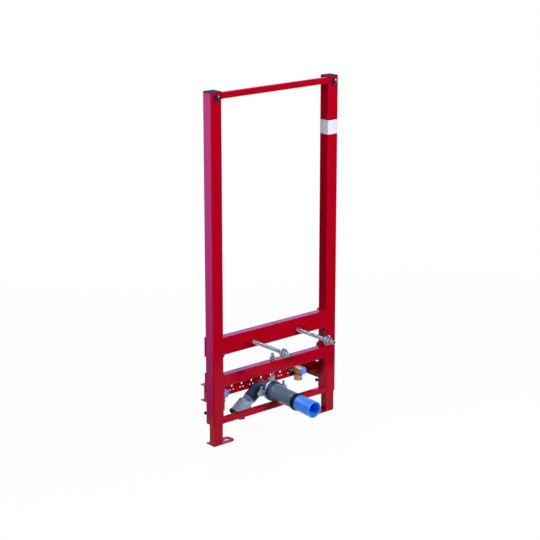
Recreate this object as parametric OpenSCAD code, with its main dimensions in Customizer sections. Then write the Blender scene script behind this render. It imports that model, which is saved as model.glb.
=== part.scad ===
// Bidet installation frame: two square posts on telescopic legs, joined by a top bar,
// two crossbars on brackets and a bottom rail, with the drain and water connections.
// The origin is on the underside of the left foot, on the centre line of the left post.
// +X runs to the right seen from the front, +Y to the wall behind, +Z up.

/* [Frame] */
// Width over both posts
frame_w = 500; // [440:1:620]
// Length of a post
post_l = 1026; // [800:1:1300]
// Height of the posts' lower ends above the floor, as the legs are set
post_low = 69; // [20:1:150]
// Side of a square post
post_w = 40; // [38:0.5:50]
// Wall of a post
post_t = 2; // [1.5:0.1:2.5]
// Outer corner radius of a post
post_r = 4; // [3:0.5:6]
// Height of the top bar
top_bar_h = 20; // [15:1:30]
// Depth of the top bar
top_bar_d = 10; // [8:0.5:20]
// Height and depth of the bottom rail
rail_h = 18; // [14:1:24]

/* [Crossbars] */
// Depth of both crossbars
bar_d = 28; // [24:0.5:36]
// Wall of the crossbars
bar_t = 2; // [1.5:0.1:3]
// Outer corner radius of the crossbars
bar_r = 3; // [2.5:0.5:5]
// Set-back of the crossbars behind the front of the posts
bar_back = 2; // [1:0.5:5]
// Height of the upper crossbar
upper_bar_h = 56; // [48:1:70]
// Height of its lower edge above the posts' lower ends
upper_bar_up = 220; // [200:1:300]
// Height of the lower crossbar
lower_bar_h = 37; // [30:1:45]
// Height of its lower edge above the posts' lower ends
lower_bar_up = 118; // [114:1:136]
// Height of a post bracket
bracket_h = 62; // [45:1:66]
// Steel of the brackets and arms
bracket_t = 4; // [3:0.5:5]

/* [Legs] */
// Width of a leg channel
leg_w = 33; // [28:0.5:34]
// Depth of a leg channel
leg_d = 24; // [20:0.5:30]
// Steel of a leg channel
leg_t = 3; // [2:0.5:4]
// Length of a leg inside its post
leg_inside = 190; // [150:1:220]
// Length of a foot plate
foot_l = 84; // [70:1:100]
// Width of a foot plate
foot_w = 39; // [32:1:44]
// Steel of a foot plate
foot_t = 4; // [3:0.5:6]
// Length of the floor slot in a foot
slot_l = 22; // [16:1:26]
// Width of the floor slot
slot_w = 12; // [8:0.5:14]

/* [Bidet rods] */
// Distance between the two bidet rods
rod_pitch = 180; // [160:1:190]
// Distance between the spare threaded holes
spare_pitch = 230; // [220:1:260]
// Radius of a rod
rod_r = 6; // [5:0.5:7]
// Length of a rod in front of the posts
rod_out = 167; // [120:1:200]
// Height of the rods above the lower edge of the upper crossbar
rod_up = 18; // [14:1:26]

/* [Drain] */
// Height of the drain's clamp above the bottom rail
drain_gap = 1.2; // [0.8:0.1:6]
// Slope of the drain down to the front, as it hangs in the clamp's rubber
drain_droop = 2.2; // [0:0.1:3]
// Set-back of the clamp behind the middle of the crossbar
clamp_back = 3.5; // [0:0.5:4]
// Outer radius of the barrel
barrel_r = 25; // [20:0.5:26]
// Wall of the plastic pipes
pipe_t = 2; // [1.6:0.1:3]
// Wall of the elbow's socket
socket_t = 2.4; // [2:0.1:4]
// Outer radius of the elbow's bend and outlet
outlet_r = 21; // [17:0.5:23]
// Inner radius of the coupling, for the waste pipe
waste_r = 20.2; // [16:0.1:21]
// Reach of the drain in front of the posts
drain_out = 178; // [150:1:220]
// Slope of the elbow's outlet below level
outlet_angle = 36; // [20:1:60]
// Length of the outlet with its coupling, from the drain's centre line
outlet_l = 128; // [118:1:150]
// Width of the clamp's steel band
clamp_w = 11; // [8:1:16]

/* [Water] */
// Distance between the two water connections
water_pitch = 320; // [300:10:330]
// Height of the connection plate
plate_h = 53; // [46:1:60]
// Height of the plate's lower edge above the posts' lower ends
plate_up = 43; // [36:1:46]
// Gap between the drain's bend and the plate behind it
plate_gap = 1; // [0.5:0.5:12]
// Steel of the plate
plate_t = 2; // [1.5:0.5:3]
// Depth of the plate's flanges
plate_flange = 20; // [10:1:30]
// Distance between the plate's holes
hole_pitch = 40; // [36:1:44]

/* [Hidden] */
round_fn = 64;
pipe_fn = 96;

red = [0.72, 0.02, 0.1];
black = [0.06, 0.06, 0.07];
zinc = [0.68, 0.72, 0.78];
brass = [0.72, 0.6, 0.34];
blue = [0.1, 0.3, 1];
dark_grey = [0.22, 0.25, 0.33];
light_grey = [0.6, 0.66, 0.75];

eps = 0.5;
fit = 0.1;
thread_play = 0.2;
screw_play = 0.3;
post_top = post_low + post_l;
upper_bar_z = post_low + upper_bar_up;
lower_bar_z = post_low + lower_bar_up;
plate_z = post_low + plate_up;
half_w = frame_w / 2;
post_x = half_w - post_w / 2;
inner_x = half_w - post_w;
bar_y = bar_back + bar_d / 2;
bar_back_y = bar_back + bar_d;

wall_bolt_z = post_top - 16;
wall_bolt_r = 5;
wall_bolt_out = 14;
cap_t = 2.5;
cap_plug = 9;

bracket_corner_r = 10;
bracket_screw_r = 4;
bracket_screw_flats = 13;
upper_bracket_z = upper_bar_z + upper_bar_h - bracket_h;
lower_bracket_up = 7;
lower_bracket_z = lower_bar_z + lower_bar_h + lower_bracket_up - bracket_h;

weld_nut_flats = 13;
weld_nut_h = 6.5;
weld_nut_bore = 3.4;

leg_y = post_t + 1;
leg_clamp_z = post_low + 20;
clamp_bolt_r = 3;
clamp_head_r = 5;
clamp_bolt_out = 30;
foot_y = 4;
foot_end_r = 14;
slot_from_end = 21;

rod_z = upper_bar_z + rod_up;
rod_nut_flats = 19;
nut_h = 10;
washer_r = 15;
washer_t = 3;
rod_tail = 16;
washer_y = -135;
rod_nut_y = washer_y - washer_t - nut_h;
spare_r = rod_r - 0.9;

stud_r = 5;
stud_nut_flats = 17;
stud_y = bar_y + clamp_back;
liner_t = 1.8;
lip_w = 2.5;
band_t = 2;
barrel_bore = barrel_r - pipe_t;
barrel_back_r = barrel_r + 1.6;
barrel_front_y = -98;
cap_r = barrel_r - 0.5;
mouth_r = cap_r + 1.5;
seal_back_y = barrel_front_y + 5;
seal_l = 15;
socket_bore = barrel_back_r + fit;
socket_r = socket_bore + socket_t;
bead_r = socket_r + 2;
bead_l = 9;
band_r = socket_r + fit + liner_t + fit;
drain_z = post_low + rail_h + drain_gap + band_r + band_t;
liner_front_y = stud_y - clamp_w / 2 - lip_w;
socket_front_y = liner_front_y - bead_l - fit;
socket_back_y = stud_y + clamp_w / 2 + 12;
barrel_back_y = socket_back_y - 3;
cone_l = 9;
bend_r = outlet_r + 6;
bend_start_y = socket_back_y + cone_l + 3;
bend_y = bend_start_y + bend_r;
elbow_end = 57;
coupling_start = elbow_end + 14;
coupling_r = waste_r + 3.8;
seal_t = 5;
stud_top_z = lower_bar_z + lower_bar_h + 22;
ear_l = 26;
ear_t = 3;
ear_gap = 3;
clamp_screw_r = 4;
clamp_nut_flats = 13;
clamp_screw_x = band_r + 14;

plate_y = bend_y + outlet_r + plate_gap;
arm_inner = inner_x - bracket_t;
plate_mid = plate_z + plate_h / 2;
screw_r = 3;
plate_hole_r = screw_r + screw_play;
small_hole_r = 2.4;
small_hole_dx = 6;
small_hole_dz = 12.5;

pad_t = 3;
pad_l = hole_pitch + 15;
pad_gap = 0.5;
arm_flange = arm_inner - (water_pitch + pad_l) / 2 - pad_gap;
elbow_flange_t = 4;
elbow_r = 13;
elbow_bore = 9.3;
elbow_nut_r = 14;
elbow_nut_h = 18;
elbow_neck_r = 9.5;
water_depth = 20;
water_r = 8.1;
plug_r = 12.5;
plug_t = 5;
plug_front_y = plate_y - 46;
elbow_front_y = plug_front_y + plug_t;
elbow_flange_y = plate_y - pad_t - elbow_flange_t;
water_y = elbow_flange_y - 12;
water_end_z = plate_mid - 34;

// Puts the origin under the left foot, on the centre line of the left post
module stand() {
    translate([post_x, -post_w / 2, 0]) children();
}

// Turns a left piece into its right counterpart
module to_right() {
    mirror([1, 0, 0]) children();
}

// Filled outline with round corners, centred on x and running from y = 0
module rounded_rect(w, d, r) {
    translate([r - w / 2, 0]) square([w - 2 * r, d]);
    translate([-w / 2, r]) square([w, d - 2 * r]);
    for (x = [r - w / 2, w / 2 - r], y = [r, d - r]) {
        translate([x, y]) circle(r = r, $fn = round_fn);
    }
}

// Outline of a tube wall
module tube_wall(w, d, t, r) {
    difference() {
        rounded_rect(w, d, r);
        translate([0, t]) rounded_rect(w - 2 * t, d - 2 * t, max(r - t, 0.5));
    }
}

// Level tube between x = -l/2 and l/2, from y = y0 and z = z0
module level_tube(l, d, h, t, r, y0, z0) {
    translate([0, y0 + d / 2, z0])
        rotate([90, 0, 90])
            linear_extrude(l, center = true)
                tube_wall(d, h, t, r);
}

// Cylinder along y from y0 to y1
module along_y(r, y0, y1) {
    translate([0, y0, 0])
        rotate([-90, 0, 0])
            cylinder(r = r, h = y1 - y0, $fn = round_fn);
}

// Hexagon along y from y0 to y1, over its flats
module hex_y(flats, y0, y1) {
    translate([0, y0, 0])
        rotate([-90, 0, 0])
            cylinder(d = flats / cos(30), h = y1 - y0, $fn = 6);
}

// Hexagon along z from the origin, over its flats
module hex_z(flats, h) {
    cylinder(d = flats / cos(30), h = h, $fn = 6);
}

// Threaded rod along y from y0 to y1, drawn in by the thread's play at each seat of a nut
module threaded(r, y0, y1, seats) {
    neck_r = r - thread_play;
    translate([0, y0, 0])
        rotate([-90, 0, 0])
            rotate_extrude($fn = round_fn)
                polygon(concat(
                    [[0, 0], [r, 0]],
                    [
                        for (s = seats, p = [[r, s[0]], [neck_r, s[0]], [neck_r, s[1]], [r, s[1]]])
                            [p[0], p[1] - y0]
                    ],
                    [[r, y1 - y0], [0, y1 - y0]]
                ));
}

// Left post with the holes for the wall bolt and the leg clamp
module post() {
    translate([-post_x, 0, 0])
        difference() {
            translate([0, 0, post_low])
                linear_extrude(post_top - post_low)
                    tube_wall(post_w, post_w, post_t, post_r);
            translate([0, 0, wall_bolt_z]) {
                along_y(wall_bolt_r + screw_play, -eps, post_w / 2);
                along_y(wall_bolt_r, post_w / 2, post_w + eps);
            }
            translate([0, 0, leg_clamp_z])
                along_y(clamp_bolt_r + fit, post_w / 2, post_w + eps);
        }
}

module post_left() {
    color(red) stand() post();
}

module post_right() {
    color(red) stand() to_right() post();
}

// Thin cover with a hollow plug that grips inside the post
module post_cap() {
    inside = post_w - 2 * post_t - 2 * fit;
    translate([-post_x, 0, post_top]) {
        linear_extrude(cap_t) rounded_rect(post_w, post_w, post_r);
        translate([0, post_t + fit, -cap_plug])
            linear_extrude(cap_plug)
                tube_wall(inside, inside, 1.5, post_r - post_t);
    }
}

module post_cap_left() {
    color(black) stand() post_cap();
}

module post_cap_right() {
    color(black) stand() to_right() post_cap();
}

module top_bar() {
    color(red)
        stand()
            level_tube(2 * inner_x, top_bar_d, top_bar_h, 1.5, 2, 0, post_top - top_bar_h);
}

// Domed head on a bolt that is threaded through the post, its free end for a wall bracket
module wall_bolt() {
    head_r = 10;
    head_h = 6;
    dome_r = 16;
    translate([-post_x, 0, wall_bolt_z]) {
        rotate([90, 0, 0])
            rotate_extrude($fn = round_fn)
                intersection() {
                    square([head_r, head_h]);
                    translate([0, head_h - dome_r]) circle(r = dome_r, $fn = pipe_fn);
                }
        threaded(wall_bolt_r, -eps, post_w + wall_bolt_out, [[post_w - post_t, post_w]]);
    }
}

module wall_bolt_left() {
    color(black) stand() wall_bolt();
}

module wall_bolt_right() {
    color(black) stand() to_right() wall_bolt();
}

// Box profile that carries the bidet rods, with a centre mark cut in its top
module upper_crossbar() {
    mark_w = 3;
    mark_h = 4;
    color(red)
        stand()
            difference() {
                level_tube(2 * arm_inner, bar_d, upper_bar_h, bar_t, bar_r, bar_back, upper_bar_z);
                for (x = [-rod_pitch / 2, rod_pitch / 2]) {
                    translate([x, 0, rod_z]) along_y(rod_r + screw_play, 0, bar_back_y + eps);
                }
                for (x = [-spare_pitch / 2, spare_pitch / 2]) {
                    translate([x, 0, rod_z]) along_y(spare_r, 0, bar_back_y + eps);
                }
                translate([-mark_w / 2, 0, upper_bar_z + upper_bar_h - mark_h])
                    cube([mark_w, bar_back_y + eps, mark_h + eps]);
            }
}

// Outline of one leaf of a bracket, from the bend at x = 0, where its corners are cut round
module bracket_leaf(l) {
    r = bracket_corner_r;
    translate([r, 0]) square([l - r, bracket_h]);
    translate([0, r]) square([l, bracket_h - 2 * r]);
    for (y = [r, bracket_h - r]) {
        translate([r, y]) circle(r = r, $fn = round_fn);
    }
}

// Angle that lies on the inner side of the left post and wraps behind it
module bracket(z0) {
    back_y = post_w + bracket_t;
    difference() {
        translate([bracket_t - inner_x, back_y, z0]) {
            rotate([90, 0, -90]) linear_extrude(bracket_t) bracket_leaf(back_y - bar_back);
            translate([0, -bracket_t, 0])
                rotate([90, 0, 180])
                    linear_extrude(bracket_t)
                        bracket_leaf(post_w + bracket_t);
        }
        translate([-post_x, 0, z0 + bracket_h / 2])
            along_y(bracket_screw_r + screw_play, post_w - eps, back_y + eps);
    }
}

module upper_bracket_left() {
    color(red) stand() bracket(upper_bracket_z);
}

module upper_bracket_right() {
    color(red) stand() to_right() bracket(upper_bracket_z);
}

module lower_crossbar() {
    color(red)
        stand()
            difference() {
                level_tube(2 * arm_inner, bar_d, lower_bar_h, bar_t, bar_r, bar_back, lower_bar_z);
                translate([0, stud_y, lower_bar_z - eps])
                    cylinder(r = stud_r + screw_play, h = lower_bar_h + 2 * eps, $fn = round_fn);
            }
}

module lower_bracket_left() {
    color(red) stand() bracket(lower_bracket_z);
}

module lower_bracket_right() {
    color(red) stand() to_right() bracket(lower_bracket_z);
}

// Hexagon screws that hold the brackets to the backs of the posts
module bracket_bolts() {
    bolt_z = [for (z = [upper_bracket_z, lower_bracket_z]) z + bracket_h / 2];
    head_h = 5.5;
    color(zinc)
        stand()
            for (x = [-post_x, post_x], z = bolt_z) {
                translate([x, post_w, z]) {
                    hex_y(bracket_screw_flats, bracket_t, bracket_t + head_h);
                    along_y(bracket_screw_r, 0.2, bracket_t + eps);
                }
            }
}

// Square tube between the posts' lower ends, with a weld nut below it
module bottom_rail() {
    nut_x = -0.62 * inner_x;
    color(red)
        stand()
            difference() {
                union() {
                    level_tube(2 * inner_x, rail_h, rail_h, 1.5, 2, 0, post_low);
                    translate([nut_x, rail_h / 2, post_low - weld_nut_h])
                        hex_z(weld_nut_flats, weld_nut_h + eps);
                }
                translate([nut_x, rail_h / 2, post_low - weld_nut_h - eps])
                    cylinder(r = weld_nut_bore, h = weld_nut_h + rail_h / 2, $fn = round_fn);
            }
}

// Channel that slides in the left post, open to the back
module leg() {
    translate([-post_x, leg_y, foot_t])
        linear_extrude(post_low + leg_inside - foot_t)
            difference() {
                translate([-leg_w / 2, 0]) square([leg_w, leg_d]);
                translate([leg_t - leg_w / 2, leg_t]) square([leg_w - 2 * leg_t, leg_d]);
            }
}

module leg_left() {
    color(red) stand() leg();
}

module leg_right() {
    color(red) stand() to_right() leg();
}

// Floor plate that runs inwards from the left leg, with its slot near the round end
module foot() {
    outer_x = -post_x - leg_w / 2;
    slot_x = outer_x + foot_l - slot_from_end;
    slot_r = slot_w / 2;
    difference() {
        translate([outer_x, foot_y, 0])
            linear_extrude(foot_t) {
                square([foot_l - foot_end_r, foot_w]);
                translate([0, foot_end_r]) square([foot_l, foot_w - 2 * foot_end_r]);
                for (y = [foot_end_r, foot_w - foot_end_r]) {
                    translate([foot_l - foot_end_r, y]) circle(r = foot_end_r, $fn = round_fn);
                }
            }
        translate([slot_x, foot_y + foot_w / 2, -eps])
            linear_extrude(foot_t + 2 * eps) {
                square([slot_l - slot_w, slot_w], center = true);
                for (x = [slot_r - slot_l / 2, slot_l / 2 - slot_r]) {
                    translate([x, 0]) circle(r = slot_r, $fn = round_fn);
                }
            }
    }
}

module foot_left() {
    color(red) stand() foot();
}

module foot_right() {
    color(red) stand() to_right() foot();
}

// Long cap screw from the back that presses the leg against the front of its post
module leg_clamp_bolt() {
    tip_y = leg_y + leg_t + 0.3;
    back_y = post_w + clamp_bolt_out;
    head_h = 6;
    lock_nut_flats = 10;
    lock_nut_h = 5;
    socket_flats = 5;
    translate([-post_x, 0, leg_clamp_z])
        difference() {
            union() {
                along_y(clamp_bolt_r, tip_y, back_y - head_h + eps);
                along_y(clamp_head_r, back_y - head_h, back_y);
                hex_y(lock_nut_flats, post_w + 0.2, post_w + lock_nut_h);
            }
            hex_y(socket_flats, back_y - head_h / 2, back_y + eps);
        }
}

module leg_clamp_bolt_left() {
    color(black) stand() leg_clamp_bolt();
}

module leg_clamp_bolt_right() {
    color(black) stand() to_right() leg_clamp_bolt();
}

module bidet_rod() {
    rear_nut = [bar_back_y + fit, bar_back_y + nut_h];
    translate([-rod_pitch / 2, 0, rod_z])
        threaded(rod_r, -rod_out, bar_back_y + rod_tail, [[rod_nut_y, washer_y], rear_nut]);
}

module bidet_rod_left() {
    color(zinc) stand() bidet_rod();
}

module bidet_rod_right() {
    color(zinc) stand() to_right() bidet_rod();
}

// Nut that holds the rod in the crossbar, and the washer and nut for the bidet
module rod_nuts() {
    translate([-rod_pitch / 2, 0, rod_z])
        difference() {
            union() {
                hex_y(rod_nut_flats, bar_back_y + fit, bar_back_y + nut_h);
                along_y(washer_r, washer_y - washer_t, washer_y);
                hex_y(rod_nut_flats, rod_nut_y, washer_y - washer_t / 2);
            }
            along_y(rod_r, -rod_out, bar_back_y + 2 * nut_h);
        }
}

module rod_nuts_left() {
    color(zinc) stand() rod_nuts();
}

module rod_nuts_right() {
    color(zinc) stand() to_right() rod_nuts();
}

// Perforated channel across the frame, its flanges to the back
module connection_plate() {
    first = floor((inner_x - 16) / hole_pitch - 0.5);
    color(red)
        stand()
            difference() {
                translate([-inner_x, plate_y, plate_z]) {
                    cube([2 * inner_x, plate_t, plate_h]);
                    cube([2 * inner_x, plate_flange, plate_t]);
                    translate([0, 0, plate_h - plate_t])
                        cube([2 * inner_x, plate_flange, plate_t]);
                }
                for (i = [-first - 1 : first]) {
                    translate([(i + 0.5) * hole_pitch, 0, plate_mid]) {
                        along_y(plate_hole_r, plate_y - eps, plate_y + plate_t + eps);
                        for (dx = [-small_hole_dx, small_hole_dx], dz = [-small_hole_dz, small_hole_dz]) {
                            translate([dx, 0, dz])
                                along_y(small_hole_r, plate_y - eps, plate_y + plate_t + eps);
                        }
                    }
                }
            }
}

// Arm from the inner side of the left post back to the plate, with a short flange
module plate_arm() {
    arm_l = plate_y - bar_back;
    translate([-inner_x, bar_back, plate_z]) {
        cube([bracket_t, arm_l, plate_h]);
        translate([0, arm_l - bracket_t, 0]) cube([bracket_t + arm_flange, bracket_t, plate_h]);
    }
}

module plate_arm_left() {
    color(red) stand() plate_arm();
}

module plate_arm_right() {
    color(red) stand() to_right() plate_arm();
}

// Outline of a two-hole flange, with its holes on the plate's own
module two_hole_outline(w, h) {
    difference() {
        translate([0, -h / 2]) rounded_rect(w, h, h / 2 - 0.5);
        for (x = [-hole_pitch / 2, hole_pitch / 2]) {
            translate([x, 0]) circle(r = plate_hole_r, $fn = round_fn);
        }
    }
}

// Brass wall elbow: flange, socket to the front and compression end to the floor
module water_elbow() {
    translate([-water_pitch / 2, 0, plate_mid])
        difference() {
            union() {
                translate([0, elbow_flange_y + elbow_flange_t, 0])
                    rotate([90, 0, 0])
                        linear_extrude(elbow_flange_t)
                            two_hole_outline(hole_pitch + 14, 22);
                along_y(elbow_r, elbow_front_y, elbow_flange_y + eps);
                translate([0, water_y, water_end_z - plate_mid])
                    cylinder(r = elbow_neck_r, h = plate_mid - water_end_z, $fn = round_fn);
                translate([0, water_y, water_end_z - plate_mid])
                    cylinder(r = elbow_nut_r, h = elbow_nut_h, $fn = round_fn);
            }
            along_y(elbow_bore, elbow_front_y - eps, elbow_front_y + 18);
            translate([0, water_y, water_end_z - plate_mid - eps])
                cylinder(r = water_r, h = water_depth, $fn = round_fn);
        }
}

module water_elbow_left() {
    color(brass) stand() water_elbow();
}

module water_elbow_right() {
    color(brass) stand() to_right() water_elbow();
}

// Test plug screwed into the front of the elbow
module water_plug() {
    translate([-water_pitch / 2, 0, plate_mid]) {
        along_y(plug_r, plug_front_y, elbow_front_y);
        along_y(elbow_bore - fit, elbow_front_y - eps, elbow_front_y + 14);
    }
}

module water_plug_left() {
    color(blue) stand() water_plug();
}

module water_plug_right() {
    color(blue) stand() to_right() water_plug();
}

module insulation_pad() {
    translate([-water_pitch / 2, plate_y, plate_mid])
        rotate([90, 0, 0])
            linear_extrude(pad_t)
                two_hole_outline(pad_l, 30);
}

module insulation_pad_left() {
    color(black) stand() insulation_pad();
}

module insulation_pad_right() {
    color(black) stand() to_right() insulation_pad();
}

// Screws and nuts that hold the elbows to the plate
module elbow_screws() {
    head_h = 4;
    nut_t = 5;
    back_y = plate_y + plate_t;
    color(zinc)
        stand()
            for (side = [-1, 1], dx = [-hole_pitch / 2, hole_pitch / 2]) {
                translate([side * water_pitch / 2 + dx, 0, plate_mid]) {
                    hex_y(8, elbow_flange_y - head_h, elbow_flange_y);
                    along_y(screw_r, elbow_flange_y - eps, back_y + nut_t + 2);
                    hex_y(10, back_y, back_y + nut_t);
                }
            }
}

// Tilts the drain about the middle of its clamp
module droop() {
    translate([0, stud_y, drain_z])
        rotate([drain_droop, 0, 0])
            translate([0, -stud_y, -drain_z])
                children();
}

// Places a revolved shape on the drain's centre line, its z towards the front from y0
module forward(y0) {
    droop() translate([0, y0, drain_z]) rotate([90, 0, 0]) children();
}

// Sleeve that slides in the elbow's socket, tapered towards the front seal
module drain_barrel() {
    l = barrel_back_y - barrel_front_y;
    out = barrel_back_y - socket_front_y + fit;
    collar_l = 8;
    taper_l = 34;
    color(light_grey)
        stand()
            forward(barrel_back_y)
                rotate_extrude($fn = pipe_fn)
                    polygon([
                        [barrel_bore, 0],
                        [barrel_back_r, 0],
                        [barrel_back_r, out],
                        [barrel_back_r + 1, out],
                        [barrel_back_r + 1, out + collar_l],
                        [barrel_r, out + collar_l + taper_l],
                        [barrel_r, l],
                        [barrel_bore, l]
                    ]);
}

// Bend and outlet, inside or outside, from the bend's start at y = 0
module bend_run(r, outlet) {
    translate([-bend_r, 0, 0])
        rotate_extrude(angle = 90, $fn = pipe_fn)
            translate([bend_r, 0])
                circle(r = r, $fn = pipe_fn);
    translate([-bend_r, bend_r, 0])
        rotate([0, -90, 0])
            cylinder(r = r, h = outlet - bend_r, $fn = pipe_fn);
}

// Socket and cone of the elbow, revolved about y and ending at y = 0
module socket_run(outline) {
    rotate([-90, 0, 0]) rotate_extrude($fn = pipe_fn) polygon(outline);
}

// Bend behind the clamp, turned down to the left, its beaded socket held by the clamp
module drain_elbow() {
    front = socket_front_y - bend_start_y;
    back = socket_back_y - bend_start_y;
    bore_r = outlet_r - pipe_t;
    color(dark_grey)
        stand()
            droop()
                translate([0, bend_start_y, drain_z])
                    rotate([0, -outlet_angle, 0])
                        difference() {
                            union() {
                                socket_run([
                                    [0, front],
                                    [bead_r - 1, front],
                                    [bead_r, front + 1],
                                    [bead_r, front + bead_l - 1],
                                    [bead_r - 1, front + bead_l],
                                    [socket_r, front + bead_l],
                                    [socket_r, back],
                                    [outlet_r, back + cone_l],
                                    [outlet_r, 0],
                                    [0, 0]
                                ]);
                                bend_run(outlet_r, elbow_end);
                            }
                            socket_run([
                                [0, front - eps],
                                [socket_bore, front - eps],
                                [socket_bore, back - 1],
                                [barrel_bore, back - 1],
                                [bore_r, back + cone_l - 1],
                                [bore_r, 0],
                                [0, 0]
                            ]);
                            bend_run(bore_r, elbow_end + eps);
                        }
}

// Places a revolved shape on the outlet's centre line, its z away from the drain's
module outlet() {
    droop()
        translate([0, bend_y, drain_z])
            rotate([0, -90 - outlet_angle, 0])
                children();
}

// Coupling with its spigot in the elbow and its socket for the waste pipe
module drain_coupling() {
    spigot_r = outlet_r - pipe_t - fit;
    stop = outlet_l - seal_t;
    color(light_grey)
        stand()
            outlet()
                rotate_extrude($fn = pipe_fn)
                    polygon([
                        [spigot_r - pipe_t, elbow_end - 20],
                        [spigot_r, elbow_end - 20],
                        [spigot_r, coupling_start],
                        [coupling_r, coupling_start + 6],
                        [coupling_r, coupling_start + 12],
                        [coupling_r - 0.8, stop - 8],
                        [coupling_r, stop],
                        [waste_r, stop],
                        [waste_r, coupling_start + 9],
                        [spigot_r - pipe_t, coupling_start + 5]
                    ]);
}

module drain_coupling_seal() {
    color(black)
        stand()
            outlet()
                rotate_extrude($fn = pipe_fn)
                    translate([waste_r, outlet_l - seal_t])
                        square([coupling_r + 0.5 - waste_r, seal_t]);
}

// Rubber ring over the front end of the barrel and the root of the cap
module drain_seal() {
    outer_r = barrel_r + 2.5;
    step = seal_back_y - barrel_front_y + fit;
    color(black)
        stand()
            forward(seal_back_y)
                rotate_extrude($fn = pipe_fn)
                    polygon([
                        [barrel_r + fit, 0],
                        [outer_r - 0.6, 0],
                        [outer_r, 1.5],
                        [outer_r, seal_l - 3],
                        [outer_r - 1.2, seal_l],
                        [cap_r + fit, seal_l],
                        [cap_r + fit, step],
                        [barrel_r + fit, step]
                    ]);
}

// Hollow site cap plugged into the barrel, closed at its inner end and widening to the mouth
module drain_cap() {
    plug_l = 20;
    wall = 2;
    plug_out_r = barrel_bore - fit;
    shoulder = plug_l + fit;
    l = drain_out + barrel_front_y + plug_l;
    color(blue)
        stand()
            forward(barrel_front_y + plug_l)
                rotate_extrude($fn = pipe_fn)
                    polygon([
                        [0, 0],
                        [plug_out_r, 0],
                        [plug_out_r, shoulder],
                        [cap_r, shoulder],
                        [cap_r, seal_l + plug_l],
                        [mouth_r, l - 0.5],
                        [mouth_r - 0.5, l],
                        [cap_r - wall, l],
                        [cap_r - wall, shoulder + wall],
                        [plug_out_r - wall, shoulder + wall],
                        [plug_out_r - wall, wall],
                        [0, wall]
                    ]);
}

// Two half bands with ears
module clamp_ring() {
    color(zinc)
        stand()
            forward(stud_y + clamp_w / 2)
                difference() {
                    union() {
                        cylinder(r = band_r + band_t, h = clamp_w, $fn = pipe_fn);
                        for (x = [-band_r - ear_l, band_r]) {
                            translate([x, -ear_gap / 2 - ear_t, 0])
                                cube([ear_l, ear_gap + 2 * ear_t, clamp_w]);
                        }
                    }
                    translate([0, 0, -eps]) cylinder(r = band_r, h = clamp_w + 2 * eps, $fn = pipe_fn);
                    translate([-3 * band_r, -ear_gap / 2, -eps])
                        cube([6 * band_r, ear_gap, clamp_w + 2 * eps]);
                    for (x = [-clamp_screw_x, clamp_screw_x]) {
                        translate([x, 0, clamp_w / 2])
                            rotate([90, 0, 0])
                                cylinder(
                                    r = clamp_screw_r + screw_play,
                                    h = 4 * ear_t,
                                    center = true,
                                    $fn = round_fn
                                );
                    }
                }
}

// Rubber lining of the clamp, with a lip on each side of the band
module clamp_liner() {
    lip_r = band_r + band_t - 0.5;
    color(black)
        stand()
            forward(stud_y + clamp_w / 2 + lip_w)
                rotate_extrude($fn = pipe_fn)
                    polygon([
                        [socket_r + fit, 0],
                        [lip_r, 0],
                        [lip_r, lip_w - fit],
                        [band_r - fit, lip_w - fit],
                        [band_r - fit, lip_w + clamp_w + fit],
                        [lip_r, lip_w + clamp_w + fit],
                        [lip_r, 2 * lip_w + clamp_w],
                        [socket_r + fit, 2 * lip_w + clamp_w]
                    ]);
}

// Threaded stud from the clamp's long nut up through the lower crossbar
module clamp_stud() {
    nut_z = drain_z + band_r + band_t + 2 * fit;
    bar_top = lower_bar_z + lower_bar_h;
    long_nut_h = 16;
    washer_h = 2;
    color(zinc)
        stand()
            translate([0, stud_y, 0]) {
                translate([0, 0, nut_z]) hex_z(clamp_nut_flats, long_nut_h);
                translate([0, 0, nut_z + 2])
                    cylinder(r = stud_r, h = stud_top_z - nut_z - 2, $fn = round_fn);
                translate([0, 0, bar_top]) cylinder(r = 10.5, h = washer_h, $fn = round_fn);
                translate([0, 0, bar_top + washer_h]) hex_z(stud_nut_flats, 8);
            }
}

// Long screws through the clamp's ears, their heads below
module clamp_screws() {
    ear_top = ear_gap / 2 + ear_t;
    head_h = 4;
    screw_l = 22;
    color(zinc)
        stand()
            droop()
                for (x = [-clamp_screw_x, clamp_screw_x]) {
                    translate([x, stud_y, drain_z]) {
                        translate([0, 0, -ear_top - head_h]) hex_z(clamp_nut_flats, head_h);
                        translate([0, 0, -ear_top - 1])
                            cylinder(r = clamp_screw_r, h = screw_l + ear_top + 1, $fn = round_fn);
                        translate([0, 0, ear_top]) hex_z(clamp_nut_flats, 5);
                    }
                }
}

post_left();
post_right();
post_cap_left();
post_cap_right();
top_bar();
wall_bolt_left();
wall_bolt_right();
upper_crossbar();
upper_bracket_left();
upper_bracket_right();
lower_crossbar();
lower_bracket_left();
lower_bracket_right();
bracket_bolts();
bottom_rail();
leg_left();
leg_right();
foot_left();
foot_right();
leg_clamp_bolt_left();
leg_clamp_bolt_right();
bidet_rod_left();
bidet_rod_right();
rod_nuts_left();
rod_nuts_right();
connection_plate();
plate_arm_left();
plate_arm_right();
water_elbow_left();
water_elbow_right();
water_plug_left();
water_plug_right();
insulation_pad_left();
insulation_pad_right();
elbow_screws();
drain_barrel();
drain_elbow();
drain_coupling();
drain_coupling_seal();
drain_seal();
drain_cap();
clamp_ring();
clamp_liner();
clamp_stud();
clamp_screws();
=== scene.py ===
"""Looks of a bidet installation frame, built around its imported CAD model.

The scene is in metres, in the row frame: origin under the left foot, +X to the right, +Y to the
wall behind, +Z up. The pieces' own sizes are in mm. Their places are in mm too, from the frame's
middle, and spot() and box_mm() turn one into the other.
"""

import math

import bmesh
import bpy
from mathutils import Matrix, Vector


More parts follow.
